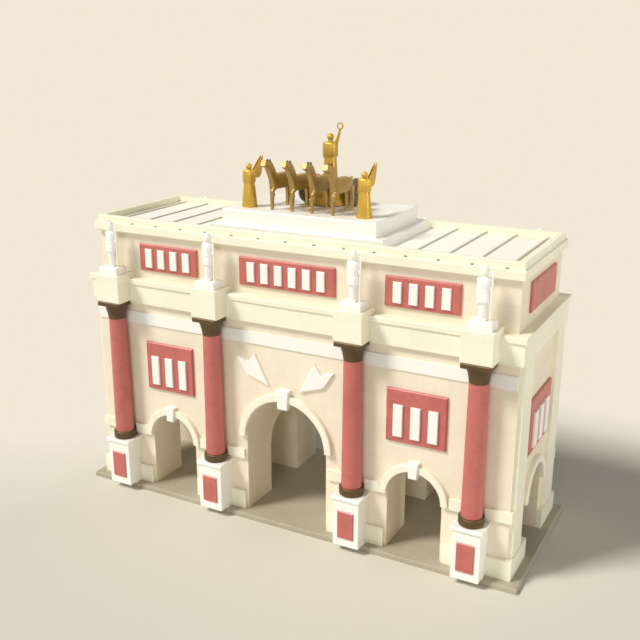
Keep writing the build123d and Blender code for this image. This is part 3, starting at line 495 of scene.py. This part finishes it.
# ---- Wheels ------------------------------------------------------------------
# Wheels cast in one piece, eight spokes in relief on a web inside a heavy rim,
# dark with oil and weather, with a turned hub pinned on the axle.
dark_bronze = bronze("dark_bronze", (0.16, 0.135, 0.10), (0.11, 0.09, 0.07), 0.4, 0.5)


def hoop(form, section, middle, axis, steps):
    # closed ring: an eight-sided section carried once round the axis
    spots = bmesh.ops.create_circle(form, radius=1.0, segments=8, matrix=section)["verts"]
    bmesh.ops.spin(form, geom=spots + list({edge for spot in spots for edge in spot.link_edges}),
                   cent=middle, axis=axis, angle=math.pi * 2, steps=steps, use_merge=True)


spokes = 8
rim_half, rim_depth = 0.078, 0.062      # half across the tread, half from tread to inside
web_half = 0.035                        # half the thickness of the web
web_inset = 0.08                        # web and spokes end this far inside the tread
hub = ((-0.10, 0.06), (-0.09, 0.085), (-0.05, 0.13), (0.05, 0.13), (0.09, 0.085), (0.10, 0.06))
wheels = bmesh.new()
for low, high in solids("chariot_wheels"):
    middle = (low + high) / 2
    radius = (high.z - low.z) / 2
    web = radius - web_inset
    section = Matrix.Translation(middle + Vector((0, 0, radius - rim_depth))) @ Matrix.Rotation(
        math.pi / 2, 4, "X") @ Matrix.Diagonal((rim_half, rim_depth, 1, 1))
    hoop(wheels, section, middle, across, 48)
    skin(wheels, [(middle.x + web_half * side, *middle.yz, web, web) for side in (-1, 1)],
         up=upright, sides=48)
    for spoke in range(spokes):
        a = math.pi * 2 * (spoke + 0.5) / spokes
        way = Vector((0, math.cos(a), math.sin(a)))
        skin(wheels, [(*(middle + way * 0.08), 0.055, 0.060), (*(middle + way * 0.17), 0.046, 0.056),
                      (*(middle + way * (radius - 0.19)), 0.040, 0.052),
                      (*(middle + way * web), 0.055, 0.056)], up=across, sides=8)
    skin(wheels, [(middle.x + x, *middle.yz, size, size) for x, size in hub], up=upright, sides=16)
finish(wheels, "spoked_wheels", dark_bronze, "chariot_wheels")

# ---- Charioteer and wreath ---------------------------------------------------
# A robed driver in gilt bronze, belted at the waist, with one arm raised to
# hold up a wreath of leaves; the head is left plain.
low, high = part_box("charioteer")
driver = bmesh.new()
skin(driver, [(0, 0, 0.0, 0.325, 0.325), (0, 0, 0.05, 0.325, 0.325), (0, 0, 0.70, 0.29, 0.29),
              (0, 0, 1.40, 0.252, 0.245)], sides=28, level=upright, flute=0.03, square=2.5)
skin(driver, [(0, 0, 1.36, 0.285, 0.265), (0, 0, 1.375, 0.292, 0.272), (0, 0, 1.62, 0.290, 0.268),
              (0, 0, 1.90, 0.290, 0.255), (0, 0, 1.955, 0.27, 0.225), (0, 0, 1.985, 0.15, 0.13),
              (0, 0, 2.00, 0.085, 0.085), (0, 0, 2.06, 0.078, 0.078)], sides=16, level=upright, square=4)
skin(driver, [(0, 0, 2.025, 0.04, 0.04), (0, -0.005, 2.045, 0.085, 0.09), (0, -0.01, 2.10, 0.128, 0.132),
              (0, 0, 2.17, 0.146, 0.148), (0, 0, 2.24, 0.128, 0.132), (0, 0, 2.295, 0.078, 0.082),
              (0, 0, 2.315, 0.02, 0.02)], sides=20, level=upright)
skin(driver, [(0.20, 0, 1.84, 0.09, 0.09), (0.27, 0, 1.93, 0.088, 0.088), (0.335, 0, 2.10, 0.068, 0.068),
              (0.375, 0, 2.22, 0.06, 0.06), (0.425, 0, 2.40, 0.05, 0.05), (0.448, 0, 2.49, 0.042, 0.042)])
skin(driver, [(-0.23, 0, 1.92, 0.06, 0.07), (-0.262, 0, 1.86, 0.062, 0.075), (-0.27, 0, 1.62, 0.055, 0.064),
              (-0.27, -0.02, 1.42, 0.048, 0.055), (-0.27, -0.03, 1.30, 0.04, 0.045),
              (-0.27, -0.03, 1.26, 0.02, 0.022)], square=3)
bmesh.ops.translate(driver, verts=driver.verts, vec=(0, axle_y, low.z))
finish(driver, "driver", gilt, "charioteer", crease=50)
low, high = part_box("wreath")
middle = (low + high) / 2
wreath_radius, stem_half, leaves = 0.118, 0.022, 22
garland = bmesh.new()
hoop(garland, Matrix.Translation(middle + Vector((wreath_radius, 0, 0)))
     @ Matrix.Diagonal((stem_half, stem_half, 1, 1)), middle, (0, 1, 0), 32)
for leaf in range(leaves):
    a = math.pi * 2 * leaf / leaves
    way = Vector((math.cos(a), 0, math.sin(a)))
    along = Vector((-math.sin(a), 0, math.cos(a)))
    for lean in (-1, 1):
        root = middle + way * wreath_radius
        tip = root + along * 0.055 + way * 0.034 * lean + Vector((0, 0.012 * lean, 0))
        mid = (root + tip) / 2
        skin(garland, [(*root, 0.004, 0.006), (*mid, 0.008, 0.017), (*tip, 0.002, 0.002)],
             up=tuple(way), sides=6)
finish(garland, "leaf_wreath", gilt, "wreath")

# ---- Victories ---------------------------------------------------------------
# Two robed, winged figures in gilt bronze, one on each side of the team. Each
# wing is one cast blade, its feathers in low relief; the heads are plain.
# the victories take a brighter copy of the same gilt bronze: painted light, set against the darker copy on
# the car and driver
lit_gilt = bronze("lit_gilt", (0.66, 0.42, 0.065), (0.60, 0.375, 0.055), 0.50, 0.42)
breast = 0.315          # front of the robe to its axis
angels = bmesh.new()
for low, high in solids("victories"):
    robed = bmesh.new()
    skin(robed, [(0, 0, 0.0, 0.30, 0.30), (0, 0, 0.03, 0.31, 0.31), (0, 0, 0.55, 0.262, 0.262),
                 (0, 0, 1.10, 0.215, 0.205)], sides=28, level=upright, flute=0.03, square=2.5)
    skin(robed, [(0, 0, 1.055, 0.237, 0.218), (0, 0, 1.07, 0.243, 0.224), (0, 0, 1.30, 0.238, 0.220),
                 (0, 0, 1.50, 0.240, 0.210), (0, 0, 1.55, 0.222, 0.185), (0, 0, 1.575, 0.12, 0.11),
                 (0, 0, 1.59, 0.070, 0.070), (0, 0, 1.63, 0.065, 0.065)], sides=16, level=upright, square=4)
    skin(robed, [(0, 0, 1.565, 0.03, 0.03), (0, -0.005, 1.585, 0.075, 0.08), (0, -0.008, 1.63, 0.112, 0.116),
                 (0, 0, 1.69, 0.131, 0.133), (0, 0, 1.75, 0.114, 0.12), (0, 0, 1.80, 0.07, 0.075),
                 (0, 0, 1.82, 0.02, 0.02)], sides=20, level=upright)
    skin(robed, [(0, 0.10, 1.66, 0.02, 0.03), (0, 0.135, 1.67, 0.05, 0.05), (0, 0.16, 1.70, 0.045, 0.045),
                 (0, 0.18, 1.73, 0.015, 0.015)], sides=12)
    for side in (-1, 1):
        skin(robed, [(0.19 * side, 0, 1.52, 0.055, 0.06), (0.215 * side, 0, 1.46, 0.055, 0.06),
                     (0.222 * side, 0, 1.24, 0.048, 0.054), (0.222 * side, -0.02, 1.04, 0.042, 0.048),
                     (0.222 * side, -0.03, 0.93, 0.035, 0.04), (0.222 * side, -0.03, 0.90, 0.018, 0.02)],
             square=3)
        # wing blade, then the feathers over it
        lane = 0.045 * side
        skin(robed, [(lane, 0.17, 1.315, 0.026, 0.10), (lane, 0.30, 1.355, 0.026, 0.165),
                     (lane, 0.48, 1.405, 0.024, 0.245), (lane, 0.68, 1.485, 0.022, 0.335),
                     (lane, 0.84, 1.575, 0.020, 0.355), (lane, 0.93, 1.685, 0.016, 0.305),
                     (lane, 0.99, 1.83, 0.013, 0.205), (lane, 1.035, 1.99, 0.009, 0.075),
                     (lane, 1.05, 2.07, 0.006, 0.012)], up=upright, level=(0, 1, 0), square=3)
        tips = ((1.0, 1.82), (0.98, 1.68), (0.95, 1.55), (0.92, 1.42), (0.87, 1.33), (0.78, 1.24),
                (0.66, 1.19), (0.54, 1.17), (0.42, 1.19))
        for i, (y, z) in enumerate(tips):
            share = i / (len(tips) - 1)
            root = Vector((lane, 0.90 - 0.62 * share, 1.90 - 0.47 * share))
            tip = Vector((lane, y, z))
            wide = 0.048 + 0.012 * share
            row = [(*root, wide * 0.8, 0.026)]
            for part, size in ((0.35, 1.0), (0.75, 0.95), (0.92, 0.6), (1.0, 0.08)):
                row.append((*root.lerp(tip, part), wide * size, 0.030 * size ** 0.3))
            skin(robed, row, up=across, sides=8)
    bmesh.ops.translate(robed, verts=robed.verts, vec=((low.x + high.x) / 2, low.y + breast, low.z))
    pour(robed, angels)
finish(angels, "winged_victories", lit_gilt, "victories", crease=50)

# ---- Floor, light and camera -------------------------------------------------
# A plain pale floor, one soft key from the front left, low fills, and a camera
# that looks down on the front right corner.
backdrop = (0.888, 0.807, 0.665, 1)
floor_half = 300
ground = bmesh.new()
bmesh.ops.create_grid(ground, x_segments=1, y_segments=1, size=floor_half)
floor_mesh = bpy.data.meshes.new("floor")
ground.to_mesh(floor_mesh)
ground.free()
floor = bpy.data.objects.new("floor", floor_mesh)
bpy.context.scene.collection.objects.link(floor)


def mix_shaders(tree, amount, first, second):
    made = put(tree, "ShaderNodeMixShader")
    for socket, value in zip(made.inputs, (amount, first, second)):
        join(tree, value, socket)
    return made.outputs[0]


# painted near the arch, fading to the backdrop far behind it and to its left
floor_mat, tree, bsdf = blank("floor_paint")
bsdf.inputs["Base Color"].default_value = (0.655, 0.62, 0.52, 1)
bsdf.inputs["Roughness"].default_value = 0.9
bsdf.inputs["Specular IOR Level"].default_value = 0.0
where = split(tree, place(tree))
behind = spread(tree, where[1], 12.0, 16.0, 0.0, 1.0)
slant = sums(tree, "SUBTRACT", sums(tree, "MULTIPLY", where[1], 0.88), sums(tree, "MULTIPLY", where[0], 0.47))
left = sums(tree, "MULTIPLY", spread(tree, where[0], -8.0, -12.0, 0.0, 1.0),
            spread(tree, slant, -3.0, 6.0, 0.0, 1.0))
painted = mix_shaders(tree, sums(tree, "MAXIMUM", behind, left), bsdf.outputs[0],
                      put(tree, "ShaderNodeEmission", Color=backdrop).outputs[0])
bounce = put(tree, "ShaderNodeBsdfDiffuse", Color=(0.8, 0.78, 0.73, 1))
rays = put(tree, "ShaderNodeLightPath")
seen = sums(tree, "MAXIMUM", rays.outputs["Is Camera Ray"], rays.outputs["Is Glossy Ray"])
join(tree, mix_shaders(tree, seen, bounce.outputs[0], painted), tree.nodes["Material Output"].inputs[0])
floor.data.materials.append(floor_mat)

# soft sky for the light, plain backdrop for what is seen
world = bpy.data.worlds.new("studio")
bpy.context.scene.world = world
world.use_nodes = True
tree = world.node_tree
sky = tree.nodes["Background"]
sky.inputs["Color"].default_value = (0.95, 0.97, 1.0, 1)
sky.inputs["Strength"].default_value = 0.225
plain = put(tree, "ShaderNodeBackground", Color=backdrop, Strength=1.0)
rays = put(tree, "ShaderNodeLightPath")
seen = sums(tree, "MAXIMUM", rays.outputs["Is Camera Ray"],
            sums(tree, "MAXIMUM", rays.outputs["Is Glossy Ray"], rays.outputs["Is Transmission Ray"]))
join(tree, mix_shaders(tree, seen, sky.outputs[0], plain.outputs[0]), tree.nodes["World Output"].inputs[0])


def lamp(name, side, height, strength, softness, colour):
    # side: degrees round from the front towards +X; height: degrees above the floor
    light = bpy.data.lights.new(name, "SUN")
    light.energy = strength
    light.angle = math.radians(softness)
    light.color = colour
    hung = bpy.data.objects.new(name, light)
    bpy.context.scene.collection.objects.link(hung)
    hung.rotation_euler = (math.radians(90 - height), 0, math.radians(side))
    hung.location = (0, 0, 30)


lamp("key", -44, 49, 0.94 * math.pi, 15, (1.0, 0.985, 0.955))
lamp("fill_front", 12, 22, 0.17 * math.pi, 20, (1.0, 1.0, 1.0))
lamp("fill_right", 92, 8, 0.38 * math.pi, 30, (1.0, 0.97, 0.93))

scene = bpy.context.scene
scene.view_settings.view_transform = "Standard"
lens = bpy.data.cameras.new("camera")
lens.lens = 50.0
lens.sensor_width = 36.0
lens.clip_end = 1000.0
camera = bpy.data.objects.new("camera", lens)
scene.collection.objects.link(camera)
camera_down, camera_round = 17.42, 28.11        # degrees below level, and round from the front
camera.location = (17.54, -32.88, 20.13)
camera.rotation_euler = (math.radians(90 - camera_down), 0, math.radians(camera_round))
scene.camera = camera
